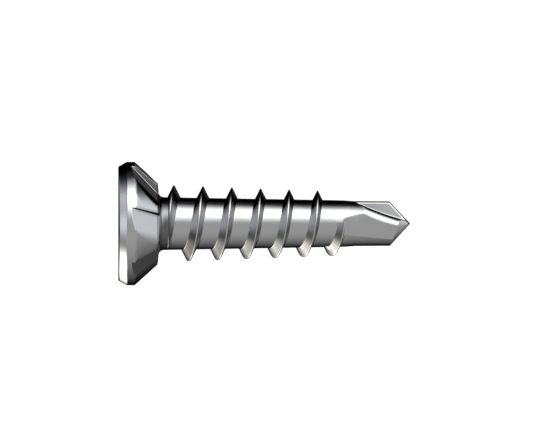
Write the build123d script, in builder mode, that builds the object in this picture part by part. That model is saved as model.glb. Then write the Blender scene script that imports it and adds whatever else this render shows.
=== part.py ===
from build123d import *
from math import atan, cos, degrees, isclose, radians, sin, tan
import os

# Overall sizes in millimetres. The head face is at the bottom and the drill point at the top
total_length = 16.0
rim_radius = 3.313
face_radius = 3.05
face_chamfer_height = 0.45
rim_top_height = 0.875

# Countersunk seat under the rim and the shoulder that ends it
seat_half_angle = 42.0
seat_end_height = 2.10
shoulder_slant = 0.05
seat_edge_rounding = 0.20
face_edge_rounding = 0.08
rim_edge_rounding = 0.05

# Sawtooth pockets milled into the seat, each floor flat beside its wall and then rolling over to the seat
pocket_count = 7
first_pocket_angle = 256.0
pocket_start_height = 0.69
pocket_half_angle = 48.5
pocket_inner_radius = 1.72
pocket_flat_width = 1.05
pocket_roll_radius = 1.6
pocket_roll_angle = 32.0

# Neck and shank
neck_radius = 1.427
neck_flare_radius = 0.30
neck_flare_sweep = 78.0
shank_end_radius = 1.277
shank_end_from_tip = 3.71

# Thread ridge, a left-hand helix as seen from the tip
thread_is_left_hand = True
thread_pitch = 1.567
thread_crest_radius = 2.085
thread_end_radius = 1.774
thread_flank_angle = 25.5
thread_crest_flat = 0.06
thread_top_height = 2.985
thread_cut_height = 2.64
thread_end_from_tip = 4.0

# Small rolled lip on the head side of the last turn
lip_radius = 1.56
lip_from_tip = 4.65
lip_half_width = 0.18
lip_arc = 36.0

# Drill point
point_body_radius = 1.235
point_body_from_tip = 3.10
point_edge_radius = 1.228
point_half_angle = 46.2
land_count = 2

# Two flutes, each a sweep of a milling disc that leaves a rounded heel on the land
web_half_width = 0.10
flute_disc_radius = 17.0
flute_floor_from_tip = 1.79
flute_floor_offset = 0.607
flute_floor_slope = 19.3
flute_drift_slope = 3.7
heel_offset = 0.522
heel_radius = 0.52
heel_wall_angle = 30.0
cutting_edge_rounding = 0.08

# Clearance faces of the two lands, each nearly flat, given by its upper edge at three heights:
# how far above the middle the edge is, how far in front of the middle, and the face's tilt there
clearance_radius = 8.0
clearance_start_from_tip = 4.0
clearance_start_edge = 0.238
clearance_start_depth = 1.258
clearance_start_tilt = -4.6
clearance_bend_from_tip = 3.11
clearance_bend_edge = 0.542
clearance_bend_depth = 1.11
clearance_bend_tilt = 1.1
clearance_end_past_tip = 0.20
clearance_end_edge = -0.38
clearance_end_depth = 0.865
clearance_end_tilt = -7.5

# Cross recess in the head face
recess_width = 4.40
recess_depth = 2.10
recess_edge_angle = 26.5
wing_width = 1.05
wing_end_width = 0.92
recess_core_radius = 0.98
recess_core_end_radius = 0.72
recess_tip_depth = 2.45
wing_count = 2

# Places worked out from the sizes above
quarter_turn = 90
half_turn = 180
seat_end_radius = rim_radius - (seat_end_height - rim_top_height) * tan(radians(seat_half_angle))
flare_centre_radius = neck_radius + neck_flare_radius
shoulder_height = seat_end_height + shoulder_slant
flare_centre_height = shoulder_height + neck_flare_radius
flare_end_radius = flare_centre_radius - neck_flare_radius * cos(radians(neck_flare_sweep))
flare_end_height = flare_centre_height - neck_flare_radius * sin(radians(neck_flare_sweep))
shank_end_height = total_length - shank_end_from_tip
point_body_height = total_length - point_body_from_tip
point_base_height = total_length - point_edge_radius / tan(radians(point_half_angle))
outside = 2 * rim_radius

# Head with its chamfered rim and countersunk seat
with BuildPart() as head:
    with BuildSketch(Plane.XZ) as head_section:
        with BuildLine() as head_outline:
            Polyline(
                (0, 0),
                (face_radius, 0),
                (rim_radius, face_chamfer_height),
                (rim_radius, rim_top_height),
                (seat_end_radius, seat_end_height),
                (flare_centre_radius, shoulder_height),
                (0, shoulder_height),
                close=True,
            )
        make_face()
    revolve(axis=Axis.Z)
    head_edge_roundings = [
        (face_radius, face_edge_rounding),
        (rim_radius, rim_edge_rounding),
        (seat_end_radius, seat_edge_rounding),
    ]
    for edge_radius, rounding in head_edge_roundings:
        rings = head.edges().filter_by(GeomType.CIRCLE)
        fillet(rings.filter_by(lambda ring: isclose(ring.radius, edge_radius)), radius=rounding)

# One pocket cutter, kept beyond its wall in the plane Y = 0
pocket_tilt = radians(pocket_half_angle)
pocket_plane = Plane(
    origin=(rim_radius, pocket_flat_width, pocket_start_height),
    x_dir=(0, 1, 0),
    z_dir=(sin(pocket_tilt), 0, -cos(pocket_tilt)),
)
roll_end_reach = pocket_roll_radius * sin(radians(pocket_roll_angle))
roll_end_drop = pocket_roll_radius * (1 - cos(radians(pocket_roll_angle)))
roll_end_slope = tan(radians(pocket_roll_angle))
with BuildPart() as pocket:
    with BuildSketch(pocket_plane) as pocket_section:
        with BuildLine() as pocket_outline:
            Polyline(
                (0, 0),
                (-outside, 0),
                (-outside, outside),
                (outside, outside),
                (outside, -roll_end_drop - (outside - roll_end_reach) * roll_end_slope),
                (roll_end_reach, -roll_end_drop),
            )
            CenterArc(
                (0, -pocket_roll_radius),
                pocket_roll_radius,
                quarter_turn - pocket_roll_angle,
                pocket_roll_angle,
            )
        make_face()
    extrude(amount=outside, both=True)
    with Locations((pocket_inner_radius, 0, seat_end_height)):
        Box(
            outside,
            outside,
            2 * outside,
            align=(Align.MIN, Align.MIN, Align.CENTER),
            mode=Mode.INTERSECT,
        )

# Shank, neck flare and the cone of the drill point
with BuildPart() as shank:
    with BuildSketch(Plane.XZ) as shank_section:
        with BuildLine() as shank_outline:
            CenterArc(
                (flare_centre_radius, flare_centre_height),
                neck_flare_radius,
                half_turn,
                neck_flare_sweep,
            )
            Polyline(
                (neck_radius, flare_centre_height),
                (shank_end_radius, shank_end_height),
                (point_body_radius, point_body_height),
                (point_edge_radius, point_base_height),
                (0, total_length),
                (0, seat_end_height - seat_edge_rounding),
                (neck_radius, seat_end_height - seat_edge_rounding),
                (flare_end_radius, flare_end_height),
            )
        make_face()
    revolve(axis=Axis.Z)

# Thread ridge, swept along its helix and cut off square where it starts
ridge_depth = thread_crest_radius - point_body_radius
ridge_half_width = thread_crest_flat / 2 + ridge_depth * tan(radians(thread_flank_angle))
helix_start_height = thread_top_height - thread_pitch / 2
thread_length = total_length - thread_end_from_tip - helix_start_height
thread_taper_angle = degrees(atan((thread_crest_radius - thread_end_radius) / thread_length))
with BuildPart() as thread:
    with BuildLine() as thread_path:
        Helix(
            pitch=thread_pitch,
            height=thread_length,
            radius=thread_crest_radius,
            center=(0, 0, helix_start_height),
            cone_angle=-thread_taper_angle,
            lefthand=thread_is_left_hand,
        )
    start_plane = Plane(
        origin=thread_path.line @ 0,
        x_dir=(1, 0, 0),
        z_dir=thread_path.line % 0,
    )
    with BuildSketch(start_plane) as ridge_section:
        with BuildLine() as ridge_outline:
            Polyline(
                (0, thread_crest_flat / 2),
                (-ridge_depth, ridge_half_width),
                (-ridge_depth, -ridge_half_width),
                (0, -thread_crest_flat / 2),
                close=True,
            )
        make_face()
    sweep(is_frenet=True)
    with Locations((0, 0, thread_cut_height)):
        Cylinder(
            outside,
            total_length,
            align=(Align.CENTER, Align.CENTER, Align.MIN),
            mode=Mode.INTERSECT,
        )

# Rolled lip beside the last turn of the thread
lip_height = total_length - lip_from_tip
with BuildPart() as rolled_lip:
    with BuildSketch(Plane.XZ) as lip_section:
        with BuildLine() as lip_outline:
            Polyline(
                (point_body_radius, lip_height - lip_half_width),
                (lip_radius, lip_height),
                (point_body_radius, lip_height + lip_half_width),
                close=True,
            )
        make_face()
    revolve(axis=Axis.Z, revolution_arc=lip_arc)

# One flute cutter, a disc that is kept only on the viewer's side of the rake face
flute_floor_height = total_length - flute_floor_from_tip
floor_tilt = radians(flute_floor_slope)
drift = tan(radians(flute_drift_slope))
heel_wall_slope = tan(radians(heel_wall_angle))
floor_plane = Plane(
    origin=(-flute_floor_offset, 0, flute_floor_height),
    x_dir=(drift * sin(floor_tilt), -1, drift * cos(floor_tilt)),
    z_dir=(-sin(floor_tilt), -drift, -cos(floor_tilt)),
)
disc_axis = Axis(floor_plane.from_local_coords((0, flute_disc_radius, 0)), floor_plane.x_dir)
heel_reach = heel_offset + heel_radius
clearance_start_height = total_length - clearance_start_from_tip
with BuildPart() as flute:
    with BuildSketch(floor_plane) as flute_section:
        with BuildLine() as flute_outline:
            Polyline(
                (heel_offset, 0),
                (-outside, 0),
                (-outside, outside),
                (outside, outside),
                (outside, -outside),
                (heel_reach + (outside - heel_radius) * heel_wall_slope, -outside),
                (heel_reach, -heel_radius),
            )
            CenterArc(
                (heel_offset, -heel_radius),
                heel_radius,
                0,
                quarter_turn,
            )
        make_face()
    revolve(axis=disc_axis)
    with Locations((0, -web_half_width, clearance_start_height)):
        Box(
            2 * outside,
            outside,
            total_length,
            align=(Align.CENTER, Align.MAX, Align.MIN),
            mode=Mode.INTERSECT,
        )

# One clearance cutter, the space in front of a land outside its nearly flat face
clearance_bend_height = total_length - clearance_bend_from_tip
clearance_end_height = total_length + clearance_end_past_tip
clearance_sections = [
    (clearance_start_height, clearance_start_edge, clearance_start_depth, clearance_start_tilt),
    (clearance_bend_height, clearance_bend_edge, clearance_bend_depth, clearance_bend_tilt),
    (clearance_end_height, clearance_end_edge, clearance_end_depth, clearance_end_tilt),
]
with BuildPart() as clearance:
    with Locations((0, -web_half_width, clearance_start_height)):
        Box(
            2 * outside,
            outside,
            clearance_end_height - clearance_start_height,
            align=(Align.CENTER, Align.MAX, Align.MIN),
        )
    for height, edge, depth, tilt in clearance_sections:
        centre_x = clearance_radius * sin(radians(tilt)) - edge
        centre_y = clearance_radius * cos(radians(tilt)) - depth
        with BuildSketch(Plane.XY.offset(height)):
            with Locations((centre_x, centre_y)):
                Circle(clearance_radius)
    loft(ruled=True, mode=Mode.SUBTRACT)

# Cutter for the cross recess
recess_taper = tan(radians(recess_edge_angle))
recess_end_width = recess_width - 2 * recess_depth * recess_taper
with BuildPart() as wing:
    with BuildSketch(Plane.XY) as wing_mouth:
        Rectangle(recess_width, wing_width)
    with BuildSketch(Plane.XY.offset(recess_depth)) as wing_end:
        Rectangle(recess_end_width, wing_end_width)
    loft()

with BuildPart() as recess:
    with BuildSketch(Plane.XZ) as core_section:
        with BuildLine() as core_outline:
            Polyline(
                (0, 0),
                (recess_core_radius, 0),
                (recess_core_end_radius, recess_depth),
                (0, recess_tip_depth),
                close=True,
            )
        make_face()
    revolve(axis=Axis.Z)
    with PolarLocations(0, wing_count, angular_range=half_turn):
        add(wing.part)

# The whole screw
with BuildPart() as screw:
    add(head.part)
    with PolarLocations(0, pocket_count, start_angle=first_pocket_angle):
        add(pocket.part, mode=Mode.SUBTRACT)
    add(shank.part)
    add(thread.part)
    with PolarLocations(0, 1, start_angle=-lip_arc / 2):
        add(rolled_lip.part)
    with PolarLocations(0, land_count):
        add(flute.part, mode=Mode.SUBTRACT)
        add(clearance.part, mode=Mode.SUBTRACT)
    add(recess.part, mode=Mode.SUBTRACT)
    upright_faces = screw.faces().filter_by(Plane.XZ)
    rake_faces = upright_faces.filter_by_position(Axis.Z, clearance_start_height, total_length)
    flute_corners = rake_faces.edges().filter_by(GeomType.ELLIPSE)
    fillet(rake_faces.edges() - flute_corners, radius=cutting_edge_rounding)

screw.part.label = "screw"
os.makedirs("parts", exist_ok=True)
export_step(screw.part, "parts/screw.step")
print("screw", screw.part.bounding_box().size, round(screw.part.volume, 3), len(screw.solids()))
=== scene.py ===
import bpy
from math import cos, pi, radians, sin
from mathutils import Matrix, Vector


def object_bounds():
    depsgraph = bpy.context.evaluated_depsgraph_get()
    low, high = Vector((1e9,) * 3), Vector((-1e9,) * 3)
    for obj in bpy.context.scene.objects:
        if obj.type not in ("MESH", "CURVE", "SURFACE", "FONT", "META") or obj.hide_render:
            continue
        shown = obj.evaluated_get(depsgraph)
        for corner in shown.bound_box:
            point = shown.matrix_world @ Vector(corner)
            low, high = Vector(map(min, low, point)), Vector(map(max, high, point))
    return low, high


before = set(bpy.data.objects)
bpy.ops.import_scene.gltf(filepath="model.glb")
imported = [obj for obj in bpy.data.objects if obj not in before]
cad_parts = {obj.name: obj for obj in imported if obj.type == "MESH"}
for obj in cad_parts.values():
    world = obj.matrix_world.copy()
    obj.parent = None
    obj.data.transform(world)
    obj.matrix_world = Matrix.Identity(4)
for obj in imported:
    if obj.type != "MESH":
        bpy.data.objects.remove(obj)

mm = 0.001
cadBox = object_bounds()
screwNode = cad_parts["screw"]
screwLength = cadBox[1][2] / mm


# Shader maths: a wrapped socket that takes plus, minus and times

class Sock:
    def __init__(self, tree, out):
        self.tree = tree
        self.out = out

    def math(self, operation, *values):
        return makeNode(self.tree, "ShaderNodeMath", {"operation": operation},
                        **{f"in{i}": v for i, v in enumerate((self, *values))})

    def __add__(self, other):
        return self.math("ADD", other)

    def __sub__(self, other):
        return self.math("SUBTRACT", other)

    def __mul__(self, other):
        return self.math("MULTIPLY", other)

    def __rsub__(self, other):
        return self.math("MULTIPLY", -1.0).math("ADD", other)

    __radd__ = __add__
    __rmul__ = __mul__

    def smooth(self, low, high, toLow=0.0, toHigh=1.0):
        return makeNode(self.tree, "ShaderNodeMapRange", {"interpolation_type": "SMOOTHSTEP"},
                        Value=self, From_Min=low, From_Max=high, To_Min=toLow, To_Max=toHigh)


def makeNode(tree, kind, settings=None, output=0, **inputs):
    node = tree.nodes.new(kind)
    for name, value in (settings or {}).items():
        setattr(node, name, value)
    for name, value in inputs.items():
        if name.startswith("in") and name[2:].isdigit():  # in0, in1 and so on go by number
            socket = node.inputs[int(name[2:])]
        else:
            socket = node.inputs[name.replace("_", " ")]
        if isinstance(value, Sock):
            tree.links.new(value.out, socket)
        else:
            socket.default_value = value
    return Sock(tree, node.outputs[output])


def vectorMath(tree, operation, *values, output="Vector"):
    return makeNode(tree, "ShaderNodeVectorMath", {"operation": operation}, output=output,
                    **{f"in{i}": v for i, v in enumerate(values)})


def mixed(tree, kind, factor, first, second):
    output, one, two = (1, "in4", "in5") if kind == "VECTOR" else (2, "in6", "in7")
    return makeNode(tree, "ShaderNodeMix", {"data_type": kind}, output=output, in0=factor,
                    **{one: first, two: second})


def emptyTree(holder):
    holder.use_nodes = True
    holder.node_tree.nodes.clear()
    return holder.node_tree


# Finish of the screw: bright plated steel with softly broken edges, and shade painted into its colour in the
# neck, in a ring on the face's edge, on the pocket walls, on the thread's flanks and roots and on the rake
# faces

# sizes are in millimetres, and a row of four is where something starts, is full, fades and ends
steel = {
    "colour": (0.86, 0.86, 0.865, 1.0),
    "roughness": (0.06, 0.09),
    "patchScale": 900.0,        # polished and duller patches, per metre
    "patchDetail": 3.0,
    "patchBand": (0.3, 0.7),
    "grainScale": 14000.0,      # fine grain, per metre
    "grainDetail": 2.0,
    "grainHeight": 0.0004,
    "edgeRadius": 0.05,
    "bevelSamples": 8,
}
head = {
    "faceEdge": 0.10,           # the face's edge, turned outward so that it shows dark
    "faceTurn": 6.0,
    "ringFade": (0.03, 0.10),   # painted shade: a dark ring on the edge of the face
    "ringRadius": (2.85, 2.95),
    "ringTone": 0.15,
    "seat": (0.84, 0.92, 2.05, 2.12),
    "seatEdgeRadius": 0.08,
    "seatSoftRadius": 0.26,     # the pockets' floors roll over this softly
    "softFacing": (0.92, 0.975),
    # painted shade: the colour is darkened in the neck between the seat and the thread
    "neck": (1.98, 2.08, 2.58, 2.90),
    "neckShade": 0.33,
}
# painted shade: the pocket walls are darkened, in bands that run along the pocket's floor, and the shade
# lifts at the wall's foot as a painted highlight
pocketWallShade = {
    "facing": (0.82, 0.95),     # a wall faces round the axis
    "tone": (0.30, 0.66),
    "slope": 48.5,              # degrees, the bands of painted shade on the wall run along the pocket's floor
    "foot": 2.712,
    "footLine": (0.03, 0.06),
    "linePitch": 0.09,
    "lineStart": 0.02,
    "lineBand": (0.2, 0.95),
}
# painted shade: the head-facing flanks on the +x side are darkened, most near the head and lightening toward
# the point, and so are the creases at the thread's roots on that side
thread = {
    "along": (2.6, 3.0, 12.5, 12.7),
    "flankFacing": (-0.8, -0.6),
    "flankSide": (0.0, 0.9),
    "flankSpan": (2.9, 12.6),
    "flankShade": (0.80, 1.09),
    "rootLikeness": (0.97, 0.998),
    "rootRadius": (1.5, 1.6),
    "rootSide": (0.0, 0.6),
    "rootShade": 0.6,
}
point = {
    "start": (12.1, 12.6),
    "edgeRadius": 0.14,
    "radius": 1.23,             # outline of the rake face
    "halfAngle": 46.2,
    "cornerBlend": 0.05,
    "reach": 0.15,              # the light line beside the cutting edge
    "turn": 1.2,
    "lineDepth": (0.12, 0.70),
    "faceDepth": (0.12, 0.18),
    # painted shade: the flat rake faces near the point are a little darker
    "rakeShade": 0.87,
    "hollowSpan": (12.8, 15.0),
    "hollow": (0.03, 0.09),
}


def span(along, places):
    start, full, fade, end = places
    return along.smooth(start, full) * along.smooth(fade, end, 1.0, 0.0)


def darken(mask, tone):
    return 1.0 - mask * (1.0 - tone)


def parts(vector):
    separate = makeNode(vector.tree, "ShaderNodeSeparateXYZ", Vector=vector)
    return [Sock(vector.tree, out) for out in separate.out.node.outputs]


def bevel(tree, radius):
    return makeNode(tree, "ShaderNodeBevel", {"samples": steel["bevelSamples"]}, Radius=radius * mm)


def edgeNormal(tree, x, y, z, plain, broken, onSeat, onPoint):
    soft = bevel(tree, head["seatSoftRadius"])
    likeness = vectorMath(tree, "DOT_PRODUCT", soft, plain, output="Value").smooth(*head["softFacing"])
    seatEdges = mixed(tree, "VECTOR", likeness, bevel(tree, head["seatEdgeRadius"]), soft)
    edges = mixed(tree, "VECTOR", onSeat, broken, seatEdges)
    edges = mixed(tree, "VECTOR", onPoint, edges, bevel(tree, point["edgeRadius"]))

    faceEdge = z.smooth(0.0, head["faceEdge"], head["faceTurn"], 0.0)
    slope = radians(point["halfAngle"])
    across = x.math("ABSOLUTE")
    toSide = point["radius"] - across
    toCone = (screwLength - z) * sin(slope) - across * cos(slope)
    onCone = (toCone - toSide).smooth(-point["cornerBlend"], point["cornerBlend"], 1.0, 0.0)
    depth = y.math("ABSOLUTE")
    line = toSide.math("MINIMUM", toCone).smooth(0.0, point["reach"], point["turn"], 0.0)
    line = line * depth.smooth(*point["lineDepth"], 1.0, 0.0)
    hollow = z.smooth(*point["hollowSpan"], *point["hollow"]) * depth.smooth(*point["faceDepth"], 1.0, 0.0)
    turn = (line + hollow) * onPoint
    outward = makeNode(tree, "ShaderNodeCombineXYZ", X=x.math("SIGN") * darken(onCone, cos(slope)) * turn,
                       Z=onCone * sin(slope) * turn - faceEdge)
    return vectorMath(tree, "NORMALIZE", vectorMath(tree, "ADD", edges, outward))


# painted shade on the pocket walls, in bands, with a painted highlight along the wall's foot
def wallShade(tree, place, z, radius, normal, onSeat):
    around = vectorMath(tree, "NORMALIZE", vectorMath(tree, "CROSS_PRODUCT", (0.0, 0.0, 1.0), place))
    facing = vectorMath(tree, "DOT_PRODUCT", around, normal, output="Value").math("ABSOLUTE")
    slope = radians(pocketWallShade["slope"])
    above = radius * cos(slope) + z * sin(slope) - pocketWallShade["foot"]
    wave = ((above - pocketWallShade["lineStart"]) * (2 * pi / pocketWallShade["linePitch"])).math("COSINE")
    lines = wave.smooth(*pocketWallShade["lineBand"], *pocketWallShade["tone"])
    tone = lines.math("MAXIMUM", above.smooth(*pocketWallShade["footLine"], 1.0, 0.0))
    return darken(facing.smooth(*pocketWallShade["facing"]) * onSeat, tone)


# painted shade on the thread's flanks and in the creases at its roots
def threadShade(tree, x, z, radius, normal, plain, broken):
    along = span(z, thread["along"])
    flank = parts(normal)[2].smooth(*thread["flankFacing"], 1.0, 0.0) * x.smooth(*thread["flankSide"])
    flankShade = z.smooth(*thread["flankSpan"], *thread["flankShade"])
    bent = vectorMath(tree, "DOT_PRODUCT", broken, plain, output="Value")
    root = bent.smooth(*thread["rootLikeness"], 1.0, 0.0) * radius.smooth(*thread["rootRadius"], 1.0, 0.0)
    root = root * x.smooth(*thread["rootSide"])
    return darken(flank * along, flankShade) * darken(root * along, thread["rootShade"])


def steelMaterial(material):
    tree = emptyTree(material)
    place = makeNode(tree, "ShaderNodeTexCoord", output="Object")
    normal = makeNode(tree, "ShaderNodeTexCoord", output="Normal")
    plain = makeNode(tree, "ShaderNodeNewGeometry", output="Normal")
    broken = bevel(tree, steel["edgeRadius"])
    patches = makeNode(tree, "ShaderNodeTexNoise", Vector=place, Scale=steel["patchScale"],
                       Detail=steel["patchDetail"])
    grain = makeNode(tree, "ShaderNodeTexNoise", Vector=place, Scale=steel["grainScale"],
                     Detail=steel["grainDetail"])

    inMm = makeNode(tree, "ShaderNodeVectorMath", {"operation": "SCALE"}, in0=place, Scale=1 / mm)
    x, y, z = parts(inMm)
    radius = vectorMath(tree, "LENGTH", vectorMath(tree, "MULTIPLY", inMm, (1.0, 1.0, 0.0)), output="Value")
    onSeat, onNeck, onPoint = span(z, head["seat"]), span(z, head["neck"]), z.smooth(*point["start"])
    # painted shade: a dark ring round the outer edge of the face
    ring = z.smooth(*head["ringFade"], 1.0, 0.0) * radius.smooth(*head["ringRadius"])
    # painted shade on the rake faces
    rakeFace = y.math("ABSOLUTE").smooth(*point["faceDepth"], 1.0, 0.0) * onPoint

    # painted shade: darker in the neck and in the ring on the face's edge
    shade = darken(onNeck, head["neckShade"]) * darken(ring, head["ringTone"])
    shade = shade * wallShade(tree, inMm, z, radius, normal, onSeat)
    shade = shade * threadShade(tree, x, z, radius, normal, plain, broken)
    shade = shade * darken(rakeFace, point["rakeShade"])
    colour = mixed(tree, "RGBA", shade, (0.0, 0.0, 0.0, 1.0), steel["colour"])
    surface = makeNode(tree, "ShaderNodeBump", Strength=1.0, Distance=steel["grainHeight"] * mm, Height=grain,
                       Normal=edgeNormal(tree, x, y, z, plain, broken, onSeat, onPoint))
    shader = makeNode(tree, "ShaderNodeBsdfPrincipled", Base_Color=colour, Metallic=1.0,
                      Roughness=patches.smooth(*steel["patchBand"], *steel["roughness"]), Normal=surface)
    out = tree.nodes.new("ShaderNodeOutputMaterial")
    tree.links.new(shader.out, out.inputs["Surface"])


for slot in screwNode.material_slots:
    steelMaterial(slot.material)
screwNode.visible_glossy = False
print("steel finish")


# Studio: a soft box is a window of light on the sky, placed by its direction from the screw

white = (1.0, 1.0, 1.0)
skyLight = {"plain": 1.15, "boxes": 1.0}
# turn goes from the viewer toward the picture's top, rise goes toward the point; angles in degrees
studio = {
    "key": dict(turn=49.1, rise=27.5, width=13.9, height=36.4, softWidth=38.3, softHeight=7.1,
                strength=2.56, colour=(0.98, 1.0, 1.04)),
    "fill": dict(turn=-17, rise=11.4, width=75.1, height=86.4, softWidth=65, softHeight=7.5,
                 strength=0.34, colour=white),
    "lower": dict(turn=-114.7, rise=-39.3, width=29.1, height=12.5, softWidth=7.8, softHeight=24.4,
                  strength=2.56, colour=(1.02, 1.0, 0.917)),
    "front": dict(turn=6.8, rise=-58, width=15.9, height=8.7, softWidth=12.9, softHeight=5.9,
                  strength=0.38, colour=(0.92, 1.0, 1.06)),
    "side": dict(turn=88.6, rise=-55.8, width=28.5, height=10.8, softWidth=18.2, softHeight=8.8,
                 strength=0.46, colour=(0.97, 1.0, 1.046)),
    "top": dict(turn=121.9, rise=72.9, width=28.5, height=10.4, softWidth=12.9, softHeight=8.8,
                strength=0.57, colour=(0.965, 1.006, 1.042)),
    "back": dict(turn=144.7, rise=-53.5, width=18.1, height=12.2, softWidth=5.5, softHeight=8.7,
                 strength=0.31, colour=(0.963, 1.004, 1.058)),
    "rear": dict(turn=162, rise=16, width=11, height=9, softWidth=6, softHeight=12,
                 strength=0.045, colour=white),
    "rearHigh": dict(turn=-168.3, rise=56.5, width=13.3, height=15.7, softWidth=3, softHeight=10.6,
                     strength=0.2, colour=white),
    "rearLow": dict(turn=-177.2, rise=-74.8, width=18.6, height=8.7, softWidth=10.5, softHeight=7.7,
                    strength=0.11, colour=white),
    "glow": dict(turn=-166.2, rise=27.2, width=7.7, height=7.5, softWidth=4, softHeight=5.6,
                 strength=0.11, colour=(1.0, 1.0, 0.955)),
    "pocket": dict(turn=159.7, rise=22.4, width=4, height=4, softWidth=3, softHeight=3,
                   strength=0.022, colour=white),
    "lowerRear": dict(turn=-140.6, rise=-23.7, width=6.8, height=16.5, softWidth=27.4, softHeight=7.5,
                      strength=2.44, colour=(1.03, 1.0, 0.91)),
}


def direction(turn, rise):
    t, r = radians(turn), radians(rise)
    return Vector((-sin(t) * cos(r), -cos(t) * cos(r), sin(r)))


def softBox(tree, sky, turn, rise, width, height, softWidth, softHeight, strength, colour):
    centre = direction(turn, rise)
    across = direction(turn + 90, 0)
    upward = centre.cross(across)

    def along(axis):
        return vectorMath(tree, "DOT_PRODUCT", sky, tuple(axis), output="Value")

    def window(angle, half, soft):
        return angle.math("ABSOLUTE").smooth(radians(half - soft), radians(half + soft), 1.0, 0.0)

    sideways = window(along(across).math("ARCTAN2", along(centre)), width, softWidth)
    upright = window(along(upward).math("ARCSINE"), height, softHeight)
    return makeNode(tree, "ShaderNodeVectorMath", {"operation": "SCALE"}, in0=colour,
                    Scale=sideways * upright * strength)


def makeWorld():
    world = bpy.data.worlds.new("studio")
    bpy.context.scene.world = world
    tree = emptyTree(world)
    sky = makeNode(tree, "ShaderNodeTexCoord", output="Generated")
    light = (0.0, 0.0, 0.0)
    for box in studio.values():
        light = vectorMath(tree, "ADD", light, softBox(tree, sky, **box))
    boxes = makeNode(tree, "ShaderNodeBackground", Color=light, Strength=skyLight["boxes"])
    plainSky = makeNode(tree, "ShaderNodeBackground", Color=(*white, 1.0), Strength=skyLight["plain"])
    isGlossy = makeNode(tree, "ShaderNodeLightPath", output="Is Glossy Ray")
    both = makeNode(tree, "ShaderNodeMixShader", in0=isGlossy, in1=plainSky, in2=boxes)
    out = tree.nodes.new("ShaderNodeOutputWorld")
    tree.links.new(both.out, out.inputs["Surface"])
    world.cycles.sampling_method = "NONE"


makeWorld()
print("studio light")


# Floor: a plain pale sheet under the screw's head

floorPlan = {"size": 1.2, "colour": (0.93, 0.93, 0.93, 1.0)}


def makeFloor():
    bpy.ops.object.select_all(action="DESELECT")
    bpy.ops.mesh.primitive_plane_add(size=floorPlan["size"], location=(0, 0, 0))
    floor = bpy.context.object
    floor.name = "floor"
    material = bpy.data.materials.new("floor")
    tree = emptyTree(material)
    shader = makeNode(tree, "ShaderNodeBsdfDiffuse", Color=floorPlan["colour"])
    out = tree.nodes.new("ShaderNodeOutputMaterial")
    tree.links.new(shader.out, out.inputs["Surface"])
    floor.data.materials.append(material)
    floor.visible_glossy = False


makeFloor()
print("floor")


# Camera: just above the floor and turned on its side, so that the screw lies across the picture

# sizes are in millimetres
view = {
    "rise": 7.0,                # degrees up from level to the screw's middle
    "distance": 65.81,
    "aimHeight": 8.007,
    "aimSide": -0.005,
    "aboveFloor": 0.02,
    "perspective": 1209.6,      # focal length in pixels of the photograph
    "photoWidth": 533,
    "sensor": 36.0,
    "clip": (1.0, 10000.0),
}


def makeCamera():
    camera = bpy.data.objects.new("camera", bpy.data.cameras.new("camera"))
    bpy.context.scene.collection.objects.link(camera)
    away = view["distance"] * cos(radians(view["rise"]))
    target = Vector((view["aimSide"], 0, view["aimHeight"])) * mm
    place = Vector((view["aimSide"], -away, view["aboveFloor"])) * mm
    look = (target - place).normalized()
    upward = Vector((-1, 0, 0))
    across = look.cross(upward)
    camera.matrix_world = Matrix((
        (across.x, upward.x, -look.x, place.x),
        (across.y, upward.y, -look.y, place.y),
        (across.z, upward.z, -look.z, place.z),
        (0, 0, 0, 1),
    ))
    near, far = view["clip"]
    camera.data.sensor_width = view["sensor"]
    camera.data.lens = view["sensor"] * view["perspective"] / view["photoWidth"]
    camera.data.clip_start = near * mm
    camera.data.clip_end = far * mm
    bpy.context.scene.camera = camera


makeCamera()
bpy.context.scene.view_settings.view_transform = "Standard"
print("camera")
